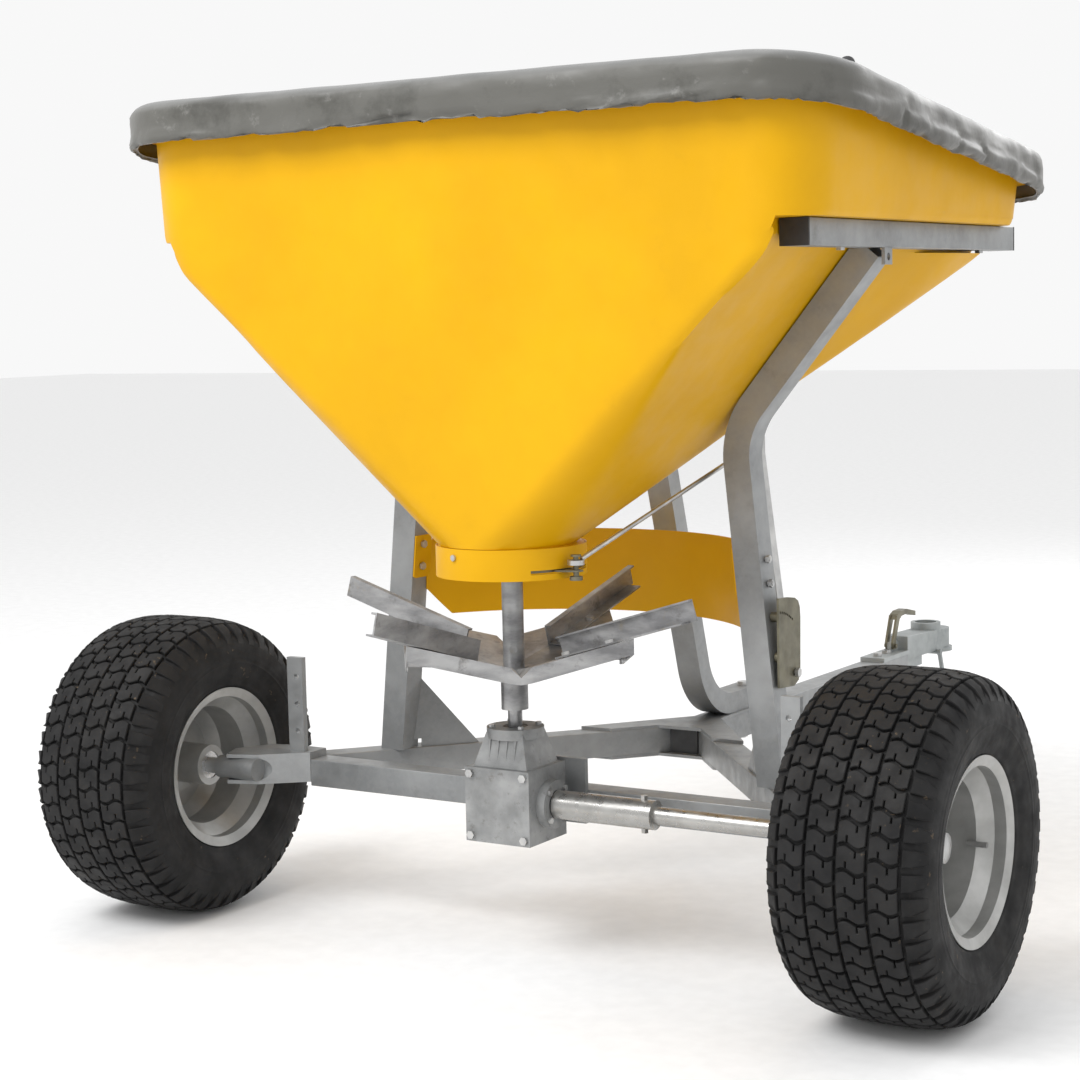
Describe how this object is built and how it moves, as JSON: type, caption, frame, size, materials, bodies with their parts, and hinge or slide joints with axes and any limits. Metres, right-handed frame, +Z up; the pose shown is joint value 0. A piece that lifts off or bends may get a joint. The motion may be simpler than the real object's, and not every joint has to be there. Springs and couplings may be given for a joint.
{
  "type": "garden spreader",
  "caption": "Trailed broadcast spreader: yellow funnel hopper on a tube frame with turf tyres, wheel-driven spinner, rate lever, ball hitch and fabric cover.",
  "frame": {"origin": "middle of the footprint, on the ground that the wheels stand on", "axes": "+Y runs forward along the drawbar to the hitch, +X to the machine's right, +Z up"},
  "size_m": [1.762, 2.3481, 1.5259],
  "materials": {
    "galvanised_steel": "hot-dip galvanised, dull grey with a faint spangle",
    "zinc_fasteners": "zinc plated, satin",
    "yellow_plastic": "rotation-moulded polyethylene, satin",
    "black_plastic": "moulded, matt",
    "peg_rubber": "moulded, matt",
    "gearbox_casting": "cast, grey paint, satin",
    "bearing_steel": "ground",
    "seal_rubber": "matt",
    "bright_steel": "turned, lightly polished",
    "gear_steel": "machined, oiled",
    "spinner_steel": "pressed sheet, worn galvanising",
    "tyre_rubber": "turf tread, matt with dust",
    "rim_paint": "silver paint, satin",
    "yellow_chromate": "yellow passivated zinc",
    "hitch_steel": "pressed steel, dull zinc",
    "cover_fabric": "coated tarpaulin, faint sheen"
  },
  "bodies": {
    "chassis": {"crossmember": "galvanised_steel", "left_rail": "galvanised_steel", "right_rail": "galvanised_steel", "junction_plates": "galvanised_steel", "drawbar": "galvanised_steel", "plastic_end_caps": "black_plastic", "left_axle_bracket": "galvanised_steel", "right_axle_bracket": "galvanised_steel", "scraper_bars": "galvanised_steel", "left_upright": "galvanised_steel", "right_upright": "galvanised_steel", "upright_gussets": "galvanised_steel", "left_side_beam": "galvanised_steel", "right_side_beam": "galvanised_steel", "tie_down_lugs": "galvanised_steel", "front_post": "galvanised_steel", "frame_bolts": "zinc_fasteners", "hopper": "yellow_plastic", "outlet_ring": "yellow_plastic", "floor_plate": "galvanised_steel", "plastics_bolts": "zinc_fasteners", "deflector": "yellow_plastic", "gearbox_housing": "gearbox_casting", "gearbox_rear_cover": "gearbox_casting", "gearbox_bolts": "zinc_fasteners", "gearbox_mount_plate": "galvanised_steel", "input_bearings": "bearing_steel", "output_bearings": "bearing_steel", "shaft_seals": "seal_rubber", "right_axle_bearings": "bearing_steel", "left_stub_axle": "galvanised_steel", "rate_quadrant": "yellow_chromate", "hitch_coupler": "hitch_steel", "safety_loop": "hitch_steel"},
    "left_wheel": {"left_tyre": "tyre_rubber", "left_rim": "rim_paint", "left_wheel_disc": "rim_paint", "left_hub": "rim_paint", "left_wheel_bearings": "bearing_steel", "left_wheel_trim": "zinc_fasteners"},
    "right_wheel": {"right_tyre": "tyre_rubber", "right_rim": "rim_paint", "right_wheel_disc": "rim_paint", "right_hub": "rim_paint", "right_wheel_trim": "zinc_fasteners", "drive_shaft": "bright_steel", "drive_sleeve": "bright_steel", "crown_gear": "gear_steel"},
    "spinner": {"spinner_shaft": "spinner_steel", "pinion_gear": "gear_steel", "spinner_dish": "spinner_steel", "spinner_vanes": "spinner_steel", "vane_bolts": "zinc_fasteners"},
    "shutter": {"shutter": "yellow_chromate"},
    "rate_lever": {"rate_lever": "zinc_fasteners"},
    "control_rod": {"control_rod": "zinc_fasteners"},
    "hitch_latch": {"hitch_latch": "yellow_chromate"},
    "parking_leg": {"parking_leg": "galvanised_steel"},
    "cover": {"cover": "cover_fabric", "cover_toggle": "peg_rubber"}
  },
  "joints": [
    {"name": "left_wheel_spin", "type": "hinge", "parent": "chassis", "child": "left_wheel", "pos_m": [-0.749, -0.80096, 0.2795], "axis": [1, 0, 0], "continuous": true},
    {"name": "right_wheel_spin", "type": "hinge", "parent": "chassis", "child": "right_wheel", "pos_m": [0.749, -0.80096, 0.2795], "axis": [1, 0, 0], "continuous": true},
    {"name": "spinner_spin", "type": "hinge", "parent": "chassis", "child": "spinner", "pos_m": [0.02, -0.80096, 0.5], "axis": [0, 0, 1], "continuous": true},
    {"name": "rate_lever_swing", "type": "hinge", "parent": "chassis", "child": "rate_lever", "pos_m": [0.413, -0.51096, 0.487], "axis": [1, 0, 0], "range_deg": [-8, 8]},
    {"name": "shutter_turn", "type": "hinge", "parent": "chassis", "child": "shutter", "pos_m": [0.02, -0.80096, 0.69], "axis": [0, 0, 1], "range_deg": [-18.6, 18.6]},
    {"name": "control_rod_swing", "type": "hinge", "parent": "rate_lever", "child": "control_rod", "pos_m": [0.3168, -0.45856, 0.88], "axis": [0.6032, 0.6955, 0.3904], "range_deg": [-22, 22]},
    {"name": "latch_lift", "type": "hinge", "parent": "chassis", "child": "hitch_latch", "pos_m": [0, 0.86704, 0.318], "axis": [1, 0, 0], "range_deg": [0, 60]},
    {"name": "parking_leg_fold", "type": "hinge", "parent": "chassis", "child": "parking_leg", "pos_m": [-0.051, 0.64904, 0.262], "axis": [1, 0, 0], "range_deg": [-90, 0]},
    {"name": "cover_lift", "type": "slide", "parent": "chassis", "child": "cover", "axis": [0, 0, 1], "range_m": [0, 0.35]}
  ],
  "couplings": [
    {"joint": "spinner_spin", "follows": "right_wheel_spin", "ratio": 3},
    {"joint": "shutter_turn", "follows": "rate_lever_swing", "ratio": -2.307},
    {"joint": "control_rod_swing", "follows": "rate_lever_swing", "ratio": -2.655}
  ]
}
